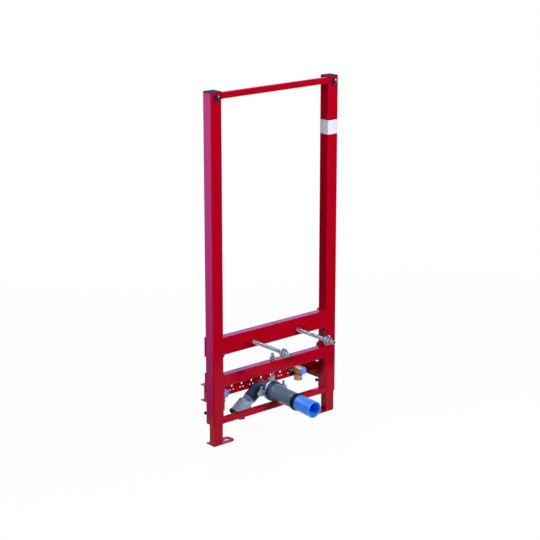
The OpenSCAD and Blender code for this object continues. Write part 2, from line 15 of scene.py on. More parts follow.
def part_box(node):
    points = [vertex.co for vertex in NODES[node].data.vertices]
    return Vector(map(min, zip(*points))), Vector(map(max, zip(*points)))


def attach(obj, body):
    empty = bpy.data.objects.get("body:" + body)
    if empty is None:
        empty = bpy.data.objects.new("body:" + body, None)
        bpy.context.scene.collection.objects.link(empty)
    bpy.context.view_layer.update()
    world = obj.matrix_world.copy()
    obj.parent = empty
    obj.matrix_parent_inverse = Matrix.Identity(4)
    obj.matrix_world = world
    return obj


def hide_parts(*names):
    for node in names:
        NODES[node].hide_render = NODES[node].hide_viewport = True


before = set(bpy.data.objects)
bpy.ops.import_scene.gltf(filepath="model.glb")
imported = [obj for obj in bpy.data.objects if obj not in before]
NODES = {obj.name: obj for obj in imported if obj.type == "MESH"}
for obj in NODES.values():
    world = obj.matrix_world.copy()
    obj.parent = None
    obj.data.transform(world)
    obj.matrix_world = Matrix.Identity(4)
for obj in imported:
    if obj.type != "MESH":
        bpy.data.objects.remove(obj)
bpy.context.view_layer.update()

MM = 0.001
MOVING = "frame"
STANDING = "floor_legs"

# The photograph's view: a point of the object that the camera turns to, its angles in degrees, its
# distance in metres, and its lens and sensor in mm
CAMERA_AIM = (0.2355, 0.0177, 0.6138)
CAMERA_AZIMUTH = 40.41
CAMERA_PITCH = 14.97
CAMERA_DISTANCE = 4.9427
CAMERA_LENS = 107.12
CAMERA_SENSOR = 36
CAMERA_SHIFT_Y = -0.06

# Sizes that the screws and nuts take from their standards, in mm
M12_PITCH, M12_FLATS, M12_NUT_H, M12_BORE_R = 1.75, 19, 10, 5.2
M12_WASHER_H, M12_HOLE_R = 3, 6.5
M10_R, M10_PITCH, M10_FLATS, M10_NUT_H, M10_BORE_R = 5, 1.5, 17, 8, 4.3
M10_WASHER_H, M10_HOLE_R = 2, 5.3
M8_R, M8_PITCH, M8_FLATS, M8_BORE_R = 4, 1.25, 13, 3.4
M6_R, M6_PITCH, M6_FLATS, M6_NUT_H, M6_BORE_R = 3, 1.0, 10, 5, 2.5

# A thread's depth in pitches, and its form: share of a turn, and level from root 0 to crest 1
THREAD_DEPTH = 0.61
THREAD_FORM = ((0.0, 1.0), (0.14, 1.0), (0.5, 0.0), (0.64, 0.0))
CONE = math.radians(30)

# Steps round a turned shape, a rod, and a small screw
ROUND, ROD_STEPS, SMALL_STEPS = 72, 24, 16


# Materials

# Detail of the noise in tone, gloss and grain, and how many times finer the gloss varies than the
# tone. WANDER says how far red, green and blue light goes in a translucent wall, in parts of WANDER_M
TONE_DETAIL, PATCH_DETAIL, GRAIN_DETAIL = 5.0, 3.0, 2.0
PATCH_SCALE = 3.1
WANDER, WANDER_M = (0.15, 0.45, 1.0), 0.03


def shader_tree(name):
    """Makes a material, and gives it with its nodes, its links and its shader."""
    material = bpy.data.materials.new(name)
    material.use_nodes = True
    nodes = material.node_tree.nodes
    return material, nodes, material.node_tree.links, nodes["Principled BSDF"]


def noise(nodes, links, scale, detail):
    """Noise in the object's own coordinates, its scale in waves per metre."""
    where = nodes.new("ShaderNodeTexCoord")
    texture = nodes.new("ShaderNodeTexNoise")
    texture.inputs["Scale"].default_value = scale
    texture.inputs["Detail"].default_value = detail
    links.new(where.outputs["Object"], texture.inputs["Vector"])
    return texture.outputs["Fac"]


def ranged(nodes, links, value, low, high, start=0.3, end=0.7):
    """Maps a value from start to end, as a noise mostly has, to the range from low to high."""
    node = nodes.new("ShaderNodeMapRange")
    links.new(value, node.inputs["Value"])
    for key, number in (("From Min", start), ("From Max", end), ("To Min", low), ("To Max", high)):
        node.inputs[key].default_value = number
    return node.outputs["Result"]


def blended(nodes, links, value, first, second):
    """A colour that runs from first to second with a value from 0 to 1."""
    node = nodes.new("ShaderNodeMix")
    node.data_type = "RGBA"
    links.new(value, node.inputs["Factor"])
    for key, colour in (("A", first), ("B", second)):
        node.inputs[key].default_value = (*colour, 1)
    return node.outputs["Result"]


def bumped(nodes, links, shader, heights):
    """Adds bumps to the shader: each is a height, its distance in metres and its strength."""
    normal = None
    for height, distance, strength in heights:
        bump = nodes.new("ShaderNodeBump")
        bump.inputs["Distance"].default_value = distance
        bump.inputs["Strength"].default_value = strength
        links.new(height, bump.inputs["Height"])
        if normal:
            links.new(normal, bump.inputs["Normal"])
        normal = bump.outputs["Normal"]
    links.new(normal, shader.inputs["Normal"])


def finish(name, colours, tone_scale, roughness, grain, metallic=0.0, coat=0.0, coat_roughness=0.1,
           specular=0.5, tint=(1.0, 1.0, 1.0), translucent=0.0):
    """A finish whose colour and roughness drift over the surface, with a fine grain in relief.

    colours and roughness are their two ends, and tone_scale their waves per metre. grain is a list
    of (waves per metre, depth in metres, strength). translucent is the share of light that wanders
    through the material's wall.
    """
    material, nodes, links, shader = shader_tree(name)
    shader.inputs["Metallic"].default_value = metallic
    shader.inputs["Coat Weight"].default_value = coat
    shader.inputs["Coat Roughness"].default_value = coat_roughness
    shader.inputs["Specular IOR Level"].default_value = specular
    shader.inputs["Specular Tint"].default_value = (*tint, 1)
    if translucent:
        shader.inputs["Subsurface Weight"].default_value = translucent
        shader.inputs["Subsurface Radius"].default_value = WANDER
        shader.inputs["Subsurface Scale"].default_value = WANDER_M
    drift = noise(nodes, links, tone_scale, TONE_DETAIL)
    links.new(blended(nodes, links, ranged(nodes, links, drift, 0, 1), *colours),
              shader.inputs["Base Color"])
    patches = noise(nodes, links, tone_scale * PATCH_SCALE, PATCH_DETAIL)
    links.new(ranged(nodes, links, patches, *roughness), shader.inputs["Roughness"])
    bumped(nodes, links, shader, [
        (noise(nodes, links, scale, GRAIN_DETAIL), depth, strength) for scale, depth, strength in grain
    ])
    return material


RED = finish("red_powder_coat", ((0.39, 0.0003, 0.007), (0.42, 0.0004, 0.009)), 9, (0.15, 0.20),
             [(420, 0.00003, 0.12), (1700, 0.00001, 0.15)], specular=0.35, tint=(1.0, 0.05, 0.3))
ZINC = finish("zinc_plate", ((0.29, 0.34, 0.36), (0.43, 0.48, 0.50)), 60, (0.20, 0.30),
              [(900, 0.00003, 0.3), (3500, 0.00001, 0.3)], metallic=0.75)
BRASS = finish("raw_brass", ((0.52, 0.34, 0.14), (0.66, 0.46, 0.21)), 70, (0.38, 0.52),
               [(700, 0.00008, 0.5), (2600, 0.00003, 0.4)], metallic=0.5)
BLACK = finish("black_plastic", ((0.006, 0.006, 0.008), (0.010, 0.010, 0.013)), 40, (0.6, 0.75),
               [(1800, 0.00002, 0.3)], specular=0.12)
BLACK_STEEL = finish("black_steel", ((0.008, 0.008, 0.010), (0.014, 0.014, 0.017)), 80, (0.14, 0.20),
                     [(1500, 0.00002, 0.15), (5000, 0.00001, 0.15)], specular=0.15)
RUBBER = finish("black_rubber", ((0.004, 0.005, 0.009), (0.007, 0.009, 0.015)), 50, (0.55, 0.7),
                [(1200, 0.00003, 0.4)], specular=0.12)
BLUE = finish("blue_polythene", ((0.028, 0.27, 1.0), (0.040, 0.31, 1.0)), 25, (0.26, 0.34),
              [(600, 0.00002, 0.3), (2600, 0.00001, 0.3)], coat=0.15, coat_roughness=0.3,
              specular=0.3, translucent=0.25)
PALE_BLUE = finish("pale_blue_polythene", ((0.15, 0.31, 0.86), (0.19, 0.36, 0.90)), 30, (0.32, 0.42),
                   [(700, 0.00003, 0.3), (2600, 0.00001, 0.3)])
DARK_GREY = finish("dark_grey_polypropylene", ((0.018, 0.048, 0.086), (0.024, 0.058, 0.104)), 30,
                   (0.30, 0.40), [(900, 0.00002, 0.3), (3200, 0.00001, 0.3)], specular=0.25)
GREY = finish("grey_polypropylene", ((0.092, 0.150, 0.184), (0.108, 0.170, 0.204)), 30, (0.22, 0.28),
              [(900, 0.00002, 0.3), (3200, 0.00001, 0.3)], coat=0.2, coat_roughness=0.22,
              specular=0.15)
PALE_GREY = finish("pale_grey_polypropylene", ((0.29, 0.40, 0.48), (0.34, 0.46, 0.55)), 30,
                   (0.28, 0.38), [(900, 0.00002, 0.3), (3200, 0.00001, 0.3)])
LABEL = finish("white_film", ((0.65, 0.65, 0.62), (0.69, 0.69, 0.66)), 35, (0.30, 0.42),
               [(160, 0.00008, 0.2), (1500, 0.00001, 0.3)], specular=0.2)


# Meshes

MERGE_M = 1e-6
SHARP_ANGLE = math.radians(32)
BACK = (0, 1, 0)
FRONT = (0, -1, 0)
UP = (0, 0, 1)

# Share of a weld bead's radius that stays in its dips and at its ends
BEAD_DIP, BEAD_END = 0.82, 0.9


def piece(name, mesh, body, slot, material, *replaced):
    """Makes a finished mesh into a piece that rides on a body and stands for CAD nodes."""
    bmesh.ops.remove_doubles(mesh, verts=mesh.verts, dist=MERGE_M)
    bmesh.ops.recalc_face_normals(mesh, faces=mesh.faces)
    data = bpy.data.meshes.new(name)
    mesh.to_mesh(data)
    mesh.free()
    for polygon in data.polygons:
        polygon.use_smooth = True
    data.set_sharp_from_angle(angle=SHARP_ANGLE)
    data.materials.append(material)
    made = bpy.data.objects.new(name, data)
    bpy.context.scene.collection.objects.link(made)
    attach(made, body)
    if replaced:
        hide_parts(*replaced)


# Halfway between the posts, on their front faces and on the floor
LEFT_SIDE, RIGHT_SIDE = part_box("post_left")[0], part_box("post_right")[1]
ORIGIN = Vector(((LEFT_SIDE.x + RIGHT_SIDE.x) / 2, LEFT_SIDE.y, 0))


def spot(x, y, z):
    """A point of the row frame from its place in mm, taken from the frame's middle."""
    return ORIGIN + Vector((x, y, z)) * MM


def box_mm(node):
    """Lowest corner, highest corner and middle of a CAD node, in mm from the frame's middle."""
    low, high = ((place - ORIGIN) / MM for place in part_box(node))
    return low, high, (low + high) / 2


def turned(mesh, profile, place, steps=ROUND, shut=False):
    """Adds a turned shape about the place's z axis. profile is a list of (radius, height) in mm,
    or a function of the angle that gives one; shut joins its last point to its first."""
    columns = []
    for i in range(steps):
        angle = 2 * math.pi * i / steps
        outline = profile(angle) if callable(profile) else profile
        turn = Vector((math.cos(angle), math.sin(angle), 0))
        columns.append([
            mesh.verts.new(place @ ((turn * r + Vector((0, 0, z))) * MM)) for r, z in outline
        ])
    last = len(columns[0]) if shut else len(columns[0]) - 1
    for i, column in enumerate(columns):
        after = columns[(i + 1) % steps]
        for j in range(last):
            k = (j + 1) % len(column)
            mesh.faces.new((column[j], after[j], after[k], column[k]))


def corner(flats, angle):
    """Radius of a hexagon at an angle from one of its corners."""
    return flats / 2 / math.cos(angle % (math.pi / 3) - math.pi / 6)


def hexagon(flats, low, high, bore_r):
    """Profile of a nut between two heights, its corners cut by the usual 30 degree cone."""
    face_r = 0.95 * flats / 2
    lead = 0.06 * flats

    def outline(angle):
        r = corner(flats, angle)
        drop = (r - face_r) * math.tan(CONE)
        return [
            (bore_r, low + lead), (bore_r + lead, low), (face_r, low), (r, low + drop),
            (r, high - drop), (face_r, high), (bore_r + lead, high), (bore_r, high - lead)
        ]
    return outline


def screw_head(flats, low, high):
    """Profile of a hexagon head: a thin collar where it seats, and corners cut on its face only."""
    face_r = 0.93 * flats / 2
    collar = 0.08 * flats
    step = 0.1
    sunk_r, sunk = 0.8 * face_r, 0.25

    def outline(angle):
        r = corner(flats, angle)
        drop = (r - face_r) * math.tan(CONE)
        return [
            (0, low), (face_r, low), (face_r, low + collar), (r, low + collar + step),
            (r, high - drop), (face_r, high), (sunk_r, high - sunk), (0, high - sunk)
        ]
    return outline


def washer(outer, inner, low, high):
    """Profile of a washer between two heights, its outer edges chamfered."""
    edge = 0.25 * (high - low)
    return [(inner, low), (outer - edge, low), (outer, low + edge), (outer, high - edge),
            (outer - edge, high), (inner, high)]


def threaded(mesh, radius, pitch, low, high, place, steps=ROD_STEPS):
    """Adds a threaded rod along the place's z axis, its ends chamfered. All its sizes are in mm."""
    radius, pitch, low, high = radius * MM, pitch * MM, low * MM, high * MM
    depth = THREAD_DEPTH * pitch
    # A turn more at each end, which the cuts at low and high take off
    turns = math.ceil((high - low) / pitch) + 2
    columns = []
    for i in range(steps):
        angle = 2 * math.pi * i / steps
        column = []
        for turn in range(turns):
            for part, level in THREAD_FORM:
                z = low + (turn - 1 + part + i / steps) * pitch
                inside = max(min(z - low, high - z), 0)
                r = min(radius - depth * (1 - level), radius - depth + inside)
                column.append(mesh.verts.new(
                    place @ Vector((r * math.cos(angle), r * math.sin(angle), z))))
        columns.append(column)
    for i, column in enumerate(columns):
        after = columns[(i + 1) % steps]
        # The last column meets the first one turn higher
        skip = len(THREAD_FORM) if i == steps - 1 else 0
        for j in range(len(column) - 1 - skip):
            mesh.faces.new((column[j], after[j + skip], after[j + 1 + skip], column[j + 1]))
    axis = (place.to_3x3() @ Vector((0, 0, 1))).normalized()
    mine = {v for column in columns for v in column}
    for z, outward in ((low, -axis), (high, axis)):
        geometry = [v for v in mesh.verts if v in mine]
        geometry += [e for e in mesh.edges if e.verts[0] in mine]
        geometry += [f for f in mesh.faces if f.verts[0] in mine]
        cut = bmesh.ops.bisect_plane(mesh, geom=geometry, plane_co=place @ Vector((0, 0, z)),
                                     plane_no=outward, clear_outer=True)
        rim = [e for e in cut["geom_cut"] if isinstance(e, bmesh.types.BMEdge)]
        mine = {v for v in mine if v.is_valid} | {v for e in rim for v in e.verts}
        bmesh.ops.contextual_create(mesh, geom=rim)


def along(axis, start):
    """Placement with its z axis along a row axis, and its x axis level, from a start point."""
    z = Vector(axis)
    x = Vector((1, 0, 0))
    turn = Matrix((x, z.cross(x), z)).transposed().to_4x4()
    return Matrix.Translation(start) @ turn


def bead(mesh, points, radius, ripple=1.6, steps=8):
    """Adds a weld bead along a line of points, its radius dipping at each ripple and at its ends."""
    points = [spot(*p) for p in points]
    rings = []
    for start, end in zip(points, points[1:]):
        run = end - start
        count = max(int(run.length / (ripple * MM)) * 2, 2)
        ahead = run.normalized()
        side = ahead.orthogonal().normalized()
        other = ahead.cross(side)
        for k in range(count + 1):
            swell = radius * MM * (1.0 if k % 2 else BEAD_DIP)
            if not rings or k in (0, count):
                swell *= BEAD_END
            middle = start + run * k / count
            rings.append([
                mesh.verts.new(middle + swell * (side * math.cos(a) + other * math.sin(a)))
                for a in (2 * math.pi * s / steps for s in range(steps))
            ])
        for ring, after in zip(rings[-count - 1:], rings[-count:]):
            for s in range(steps):
                mesh.faces.new((ring[s], ring[(s + 1) % steps], after[(s + 1) % steps], after[s]))
        mesh.faces.new(rings[-count - 1])
        mesh.faces.new(rings[-1])


# CAD nodes that stay

# Rounding of edges, and the gap that the mesh's loose corners are joined over, in mm
PLATE_EDGE, RING_EDGE, JOINED_GAP = 0.5, 0.4, 0.01
EDGE_ANGLE = math.radians(40)


def soften(node, width):
    """Rounds the sharp edges of a plate slightly, so that they catch the light."""
    weld = node.modifiers.new("weld", "WELD")
    weld.merge_threshold = JOINED_GAP * MM
    bevel = node.modifiers.new("bevel", "BEVEL")
    bevel.width = width * MM
    bevel.segments = 2
    bevel.limit_method = "ANGLE"
    bevel.angle_limit = EDGE_ANGLE
    bevel.harden_normals = True


KEPT = {
    RED: ("post_left", "post_right", "top_bar", "upper_crossbar", "upper_bracket_left",
          "upper_bracket_right", "lower_crossbar", "lower_bracket_left", "lower_bracket_right",
          "bottom_rail", "leg_left", "leg_right", "foot_left", "foot_right", "connection_plate",
          "plate_arm_left", "plate_arm_right"),
    BLACK: ("post_cap_left", "post_cap_right"),
    RUBBER: ("insulation_pad_left", "insulation_pad_right", "drain_seal", "drain_coupling_seal",
             "clamp_liner"),
    BRASS: ("water_elbow_left", "water_elbow_right"),
    BLUE: ("drain_cap",),
    DARK_GREY: ("drain_elbow",),
    GREY: ("drain_barrel",),
    PALE_GREY: ("drain_coupling",),
    ZINC: ("clamp_ring",),
}
for material, names in KEPT.items():
    for name in names:
        NODES[name].data.materials.clear()
        NODES[name].data.materials.append(material)
for name in KEPT[RED]:
    if any(word in name for word in ("bracket", "arm", "plate", "foot", "leg")):
        soften(NODES[name], PLATE_EDGE)
soften(NODES["clamp_ring"], RING_EDGE)


# Screws, rods and nuts

SIDES = ("left", "right")

# Play behind a seated nut, and how far a thread runs into its head
SEATED = 0.1
INTO_HEAD = 0.5

# Heads of the domed bolts and of the legs' cap screws
DOME_RIM = 2.2
CAP_HEAD_R, CAP_HEAD_H, KEY_FLATS, KEY_DEPTH = 5, 6, 5, 3
KNURLS, KNURL_DEPTH, KNURL_STEPS = 72, 0.16, 144


def dome(radius, height, rim, steps=8):
    """Profile of a domed head: part of a ball on a low rim."""
    rise = height - rim
    ball = (radius ** 2 + rise ** 2) / (2 * rise)
    points = []
    for i in range(steps + 1):
        r = radius * i / steps
        points.append((r, height - ball + math.sqrt(ball ** 2 - r ** 2)))
    return points + [(radius, 0), (0, 0)]


def cap_head(angle):
    """Profile of the legs' cap screws from the seat up: a knurled side and a hexagon socket."""
    edge_r = CAP_HEAD_R - KNURL_DEPTH * (round(angle / math.pi * KNURLS) % 2)
    key_r = corner(KEY_FLATS, angle)
    key_floor = CAP_HEAD_H - KEY_DEPTH
    seat_edge, seat_rise, top_edge, top_drop, drill_point = 0.3, 0.4, 0.6, 0.7, 0.6
    return [(0, 0), (edge_r - seat_edge, 0), (edge_r, seat_rise), (edge_r, CAP_HEAD_H - top_drop),
            (edge_r - top_edge, CAP_HEAD_H), (key_r, CAP_HEAD_H), (key_r, key_floor),
            (0, key_floor - drill_point)]


for side in SIDES:
    # Threaded rod for the bidet, a nut behind the crossbar, and a washer with its nut in front
    low, high, middle = box_mm(f"bidet_rod_{side}")
    rod_axis = along(BACK, spot(middle.x, 0, middle.z))
    mesh = bmesh.new()
    threaded(mesh, (high.z - low.z) / 2, M12_PITCH, low.y, high.y, rod_axis)
    piece(f"threaded_rod_{side}", mesh, MOVING, "zinc", ZINC, f"bidet_rod_{side}")

    low, high, _ = box_mm(f"rod_nuts_{side}")
    washer_front = low.y + M12_NUT_H
    front_nut = hexagon(M12_FLATS, low.y, washer_front, M12_BORE_R)
    back_nut = hexagon(M12_FLATS, high.y - M12_NUT_H + SEATED, high.y, M12_BORE_R)
    large_washer = washer((high.x - low.x) / 2, M12_HOLE_R, washer_front, washer_front + M12_WASHER_H)
    mesh = bmesh.new()
    for profile in (back_nut, large_washer, front_nut):
        turned(mesh, profile, rod_axis, shut=True)
    piece(f"nuts_and_washer_{side}", mesh, MOVING, "zinc", ZINC, f"rod_nuts_{side}")

    # Domed bolt through the top of the post, its thread free behind it
    low, high, middle = box_mm(f"wall_bolt_{side}")
    bolt_at = spot(middle.x, 0, middle.z)
    mesh = bmesh.new()
    turned(mesh, dome((high.z - low.z) / 2, -low.y, DOME_RIM), along(FRONT, bolt_at))
    threaded(mesh, M10_R, M10_PITCH, -INTO_HEAD, high.y, along(BACK, bolt_at))
    piece(f"domed_bolt_{side}", mesh, MOVING, "black_steel", BLACK_STEEL, f"wall_bolt_{side}")

    # Cap screw that clamps the leg, with a lock nut on the post's back
    low, high, middle = box_mm(f"leg_clamp_bolt_{side}")
    post_back = box_mm(f"post_{side}")[1].y
    lock_nut = hexagon(M6_FLATS, post_back + 2 * SEATED, post_back + M6_NUT_H, M6_BORE_R)
    head_seat = high.y - CAP_HEAD_H
    screw_axis = along(BACK, spot(middle.x, 0, middle.z))
    head_axis = screw_axis @ Matrix.Translation((0, 0, head_seat * MM))
    mesh = bmesh.new()
    turned(mesh, cap_head, head_axis, steps=KNURL_STEPS)
    threaded(mesh, M6_R, M6_PITCH, low.y, head_seat, screw_axis, steps=SMALL_STEPS)
    turned(mesh, lock_nut, screw_axis, shut=True)
    piece(f"clamp_cap_screw_{side}", mesh, MOVING, "black_steel", BLACK_STEEL,
          f"leg_clamp_bolt_{side}")

# Hexagon screws behind the brackets
low, high, _ = box_mm("bracket_bolts")
mesh = bmesh.new()
for side in SIDES:
    post_x = box_mm(f"post_{side}")[2].x
    bracket_back = box_mm(f"upper_bracket_{side}")[1].y
    for z in (low.z + M8_FLATS / 2, high.z - M8_FLATS / 2):
        axis = along(BACK, spot(post_x, 0, z))
        turned(mesh, screw_head(M8_FLATS, bracket_back, high.y), axis)
        turned(mesh, [(0, low.y), (M8_R, low.y), (M8_R, bracket_back), (0, bracket_back)], axis)
piece("bracket_screws", mesh, MOVING, "zinc", ZINC, "bracket_bolts")

# Front pads on the flanges of the water elbows, their plugs and their screws
FLANGE_T, PAD_W, PAD_H, PAD_T, PAD_STEPS = 4, 53.4, 20.4, 0.8, 24
ELBOW_SCREW_APART, ELBOW_HEAD_FLATS, ELBOW_HEAD_H, PLATE_T = 40, 8, 4, 2
PLUG_R, PLUG_H, PLUG_RIBS, PLUG_RIB_DEPTH, PLUG_STEPS = 12.5, 5, 20, 0.55, 160
PLUG_SUNK_R, PLUG_FLOOR, PLUG_KEY_HALF, PLUG_KEY_TOP = 8.6, 2.6, 3.2, 4.4
SPIGOT_R, SPIGOT_L = 9.2, 14


def front_pad(mesh, middle, flange_front):
    """Flat black pad with round ends on the front of an elbow's flange."""
    end_r = PAD_H / 2
    rims = []
    for y in (flange_front - PAD_T, flange_front):
        rim = []
        for end, start in ((1, -90), (-1, 90)):
            for step in range(PAD_STEPS + 1):
                a = math.radians(start + 180 * step / PAD_STEPS)
                x = middle.x + end * (PAD_W / 2 - end_r) + end_r * math.cos(a)
                rim.append(mesh.verts.new(spot(x, y, middle.z + end_r * math.sin(a))))
        mesh.faces.new(rim)
        rims.append(rim)
    front, back = rims
    for i in range(len(front)):
        mesh.faces.new((front[i - 1], front[i], back[i], back[i - 1]))


def plug_rim(angle):
    """Profile of a test plug: a ribbed disc with a square key in its sunk middle, and its spigot."""
    edge_r = PLUG_R - PLUG_RIB_DEPTH * (0.5 + 0.5 * math.cos(PLUG_RIBS * angle))
    key_r = PLUG_KEY_HALF / max(abs(math.cos(angle)), abs(math.sin(angle)))
    key_edge, top_edge, seat_edge, end_edge, wall_slope, wall_edge = 0.3, 0.6, 0.5, 0.4, 0.3, 0.4
    wall_r = PLUG_SUNK_R + wall_slope
    return [
        (0, PLUG_KEY_TOP), (key_r - key_edge, PLUG_KEY_TOP), (key_r, PLUG_KEY_TOP - key_edge),
        (key_r, PLUG_FLOOR), (PLUG_SUNK_R, PLUG_FLOOR),
        (wall_r, PLUG_H - wall_edge), (wall_r + wall_edge, PLUG_H),
        (edge_r - top_edge, PLUG_H), (edge_r, PLUG_H - top_edge),
        (edge_r, seat_edge), (edge_r - seat_edge, 0),
        (SPIGOT_R, 0), (SPIGOT_R, end_edge - SPIGOT_L), (SPIGOT_R - end_edge, -SPIGOT_L), (0, -SPIGOT_L)
    ]


_, screws_back, _ = box_mm("elbow_screws")
screws = bmesh.new()
for side in SIDES:
    pad_low, pad_high, pad_middle = box_mm(f"insulation_pad_{side}")
    flange_front = pad_low.y - FLANGE_T
    mesh = bmesh.new()
    front_pad(mesh, pad_middle, flange_front)
    piece(f"front_pad_{side}", mesh, MOVING, "black_rubber", RUBBER)

    mouth_y = box_mm(f"water_elbow_{side}")[0].y
    plug_middle = box_mm(f"water_plug_{side}")[2]
    mesh = bmesh.new()
    plug_axis = along(FRONT, spot(plug_middle.x, mouth_y, plug_middle.z))
    turned(mesh, plug_rim, plug_axis, steps=PLUG_STEPS)
    piece(f"test_plug_{side}", mesh, MOVING, "blue_plastic", PALE_BLUE, f"water_plug_{side}")

    plate_back = pad_high.y + PLATE_T
    nut = hexagon(M6_FLATS, plate_back, plate_back + M6_NUT_H, M6_BORE_R)
    for x in (pad_middle.x - ELBOW_SCREW_APART / 2, pad_middle.x + ELBOW_SCREW_APART / 2):
        head_axis = along(FRONT, spot(x, flange_front, pad_middle.z))
        turned(screws, screw_head(ELBOW_HEAD_FLATS, 0, ELBOW_HEAD_H), head_axis)
        axis = along(BACK, spot(x, 0, pad_middle.z))
        thread_low = flange_front - INTO_HEAD
        threaded(screws, M6_R, M6_PITCH, thread_low, screws_back.y, axis, steps=SMALL_STEPS)
        turned(screws, nut, axis, shut=True)
piece("elbow_fixings", screws, MOVING, "zinc", ZINC, "elbow_screws")

# Stud, long nut, washer and nut that carry the drain's clamp
LONG_NUT_FLATS, LONG_NUT_H, STUD_SUNK = 13, 16, 2
low, high, stud_middle = box_mm("clamp_stud")
bar_top = box_mm("lower_crossbar")[1].z
nut_low = bar_top + M10_WASHER_H
stud_axis = along(UP, spot(stud_middle.x, stud_middle.y, 0))
mesh = bmesh.new()
threaded(mesh, M10_R, M10_PITCH, low.z + STUD_SUNK, high.z, stud_axis)
for profile in (hexagon(LONG_NUT_FLATS, low.z, low.z + LONG_NUT_H, M10_BORE_R),
                washer((high.x - low.x) / 2, M10_HOLE_R, bar_top, nut_low),
                hexagon(M10_FLATS, nut_low, nut_low + M10_NUT_H, M10_BORE_R)):
    turned(mesh, profile, stud_axis, shut=True)
piece("hanging_stud", mesh, MOVING, "zinc", ZINC, "clamp_stud")

# Screws of the clamp's ears, which lean with the drain's fall
DRAIN_Z = 122.3
FALL = math.radians(2.2)
EAR_TOP, EAR_HEAD_H, EAR_NUT_H, EAR_SCREW_TOP, EAR_INTO_HEAD = 4.5, 4, 5, 22, 1
ears = box_mm("clamp_screws")[1].x - M8_FLATS / math.sqrt(3)
leaning = Matrix.Translation(spot(0, stud_middle.y, DRAIN_Z)) @ Matrix.Rotation(FALL, 4, "X")
mesh = bmesh.new()
for x in (-ears, ears):
    axis = leaning @ Matrix.Translation((x * MM, 0, 0))
    below = axis @ Matrix.Rotation(math.pi, 4, "X")
    turned(mesh, screw_head(M8_FLATS, EAR_TOP, EAR_TOP + EAR_HEAD_H), below)
    threaded(mesh, M8_R, M8_PITCH, -EAR_TOP - EAR_INTO_HEAD, EAR_SCREW_TOP, axis)
    turned(mesh, hexagon(M8_FLATS, EAR_TOP, EAR_TOP + EAR_NUT_H, M8_BORE_R), axis, shut=True)
piece("ear_screws", mesh, MOVING, "zinc", ZINC, "clamp_screws")


# Label and welds

# Heights of the label's edges, its film's thickness and gap, and where its ends overlap on the
# post's back, from the post's middle
LABEL_LOW, LABEL_HIGH, FILM_T, FILM_GAP = 915.5, 959.5, 0.12, 0.12
LAP_LEFT, LAP_RIGHT = -9, 3
POST_CORNER_R, CORNER_STEPS = 4, 8


def label():
    """Bare film wrapped round the right post, its ends lapped on the back."""
    low, high, middle = box_mm("post_right")
    flat = (high.x - low.x) / 2 - POST_CORNER_R
    outline = []
    for right, back, start in ((1, -1, -90), (1, 1, 0), (-1, 1, 90), (-1, -1, 180)):
        for step in range(CORNER_STEPS + 1):
            a = math.radians(start + 90 * step / CORNER_STEPS)
            outline.append((middle.x + right * flat, middle.y + back * flat, math.cos(a), math.sin(a)))
    mesh = bmesh.new()
    rows = []
    for z, rise in ((LABEL_LOW, 0), (LABEL_LOW, FILM_T), (LABEL_HIGH, FILM_T), (LABEL_HIGH, 0)):
        r = POST_CORNER_R + FILM_GAP + rise
        rows.append([mesh.verts.new(spot(x + r * nx, y + r * ny, z)) for x, y, nx, ny in outline])
    for row, after in zip(rows, rows[1:] + rows[:1]):
        for i in range(len(outline)):
            mesh.faces.new((row[i - 1], row[i], after[i], after[i - 1]))
    # The lapped end, a second layer on the post's back
    inner = high.y + FILM_GAP + FILM_T
    outer = inner + FILM_T
    ends = ((LAP_LEFT, inner), (LAP_RIGHT, inner), (LAP_RIGHT, outer), (LAP_LEFT, outer))
    lap = [mesh.verts.new(spot(middle.x + x, y, z)) for z in (LABEL_LOW, LABEL_HIGH) for x, y in ends]
    for quad in ((0, 1, 2, 3), (7, 6, 5, 4), (0, 4, 5, 1), (1, 5, 6, 2), (2, 6, 7, 3), (3, 7, 4, 0)):
        mesh.faces.new([lap[i] for i in quad])
    piece("bare_label", mesh, MOVING, None, LABEL)


label()


# Radius of the beads on crossbars, thin bars, plate arms and feet, and how far they keep from edges
BAR_BEAD, THIN_BEAD, ARM_BEAD, FOOT_BEAD, FOOT_RIPPLE = 2.0, 1.6, 1.4, 1.1, 1.4
BEAD_INSET, ARM_FRONT_INSET, ARM_BACK_INSET, ARM_LOW_INSET, ARM_TOP_INSET = 1, 1.2, 0.2, 10, 8
LEG_FRONT_INSET, LEG_BACK_INSET = 1.5, 0.5


def face_weld(mesh, node, x, z, radius):
    """Weld bead along a bar's lower or upper face, from its front to its back."""
    low, high, _ = box_mm(node)
    bead(mesh, [(x, low.y + BEAD_INSET, z), (x, high.y - BEAD_INSET, z)], radius)


def back_weld(mesh, node, x, radius, lowest=0.0):
    """Weld bead up a bar's back."""
    low, high, _ = box_mm(node)
    bead(mesh, [(x, high.y, max(low.z, lowest) + BEAD_INSET), (x, high.y, high.z - BEAD_INSET)], radius)


